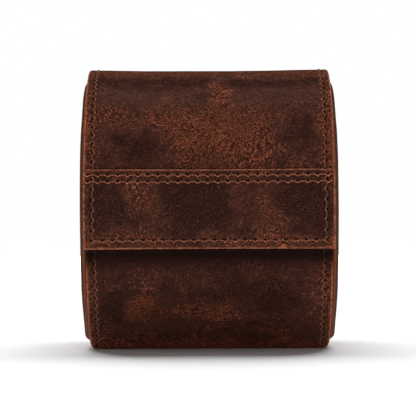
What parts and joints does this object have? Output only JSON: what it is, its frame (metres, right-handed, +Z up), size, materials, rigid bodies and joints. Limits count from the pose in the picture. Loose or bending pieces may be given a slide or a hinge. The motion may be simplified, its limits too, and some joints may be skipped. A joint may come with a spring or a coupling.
{
  "type": "leather watch travel case",
  "caption": "Round leather travel case for one watch, with padded cheeks, a wrap-over flap with a sewn front band, and a removable pillow inside.",
  "frame": {"origin": "centre of the flat base, on the surface that the case stands on", "axes": "+Z up, -Y to the front where the flap closes, +X along the axis of the round to the right seen from the front"},
  "size_m": [0.0848, 0.0975, 0.0919],
  "materials": {
    "leather": "pull-up leather with raw burnished edges, satin",
    "cheek_leather": "moulded leather, satin",
    "board": "grey-brown bonded fibre board",
    "suede": "brushed suede",
    "foam": "open-cell foam",
    "magnet": "nickel-plated disc"
  },
  "bodies": {
    "case": {"case_leather": "leather", "left_cheek_leather": "cheek_leather", "right_cheek_leather": "cheek_leather", "case_board": "board", "left_cheek_board": "board", "right_cheek_board": "board", "case_lining": "suede", "left_cheek_lining": "suede", "right_cheek_lining": "suede", "left_cheek_padding": "foam", "right_cheek_padding": "foam", "case_magnets": "magnet"},
    "flap": {"flap_leather": "leather", "flap_front_band": "leather", "flap_board": "board", "flap_lining": "suede", "flap_magnets": "magnet"},
    "pillow": {"pillow_cover": "suede", "pillow_left_cap": "suede", "pillow_right_cap": "suede", "pillow_core": "foam"}
  },
  "joints": [
    {"name": "flap_hinge", "type": "hinge", "parent": "case", "child": "flap", "pos_m": [0, 0.03664, 0.07333], "axis": [-1, 0, 0], "range_deg": [0, 115]},
    {"name": "pillow_lift", "type": "slide", "parent": "case", "child": "pillow", "axis": [0, 0, 1], "range_m": [0, 0.088]}
  ],
  "couplings": [
    {"joint": "pillow_lift", "follows": "flap_hinge", "m_per_rad": 0.0435}
  ]
}
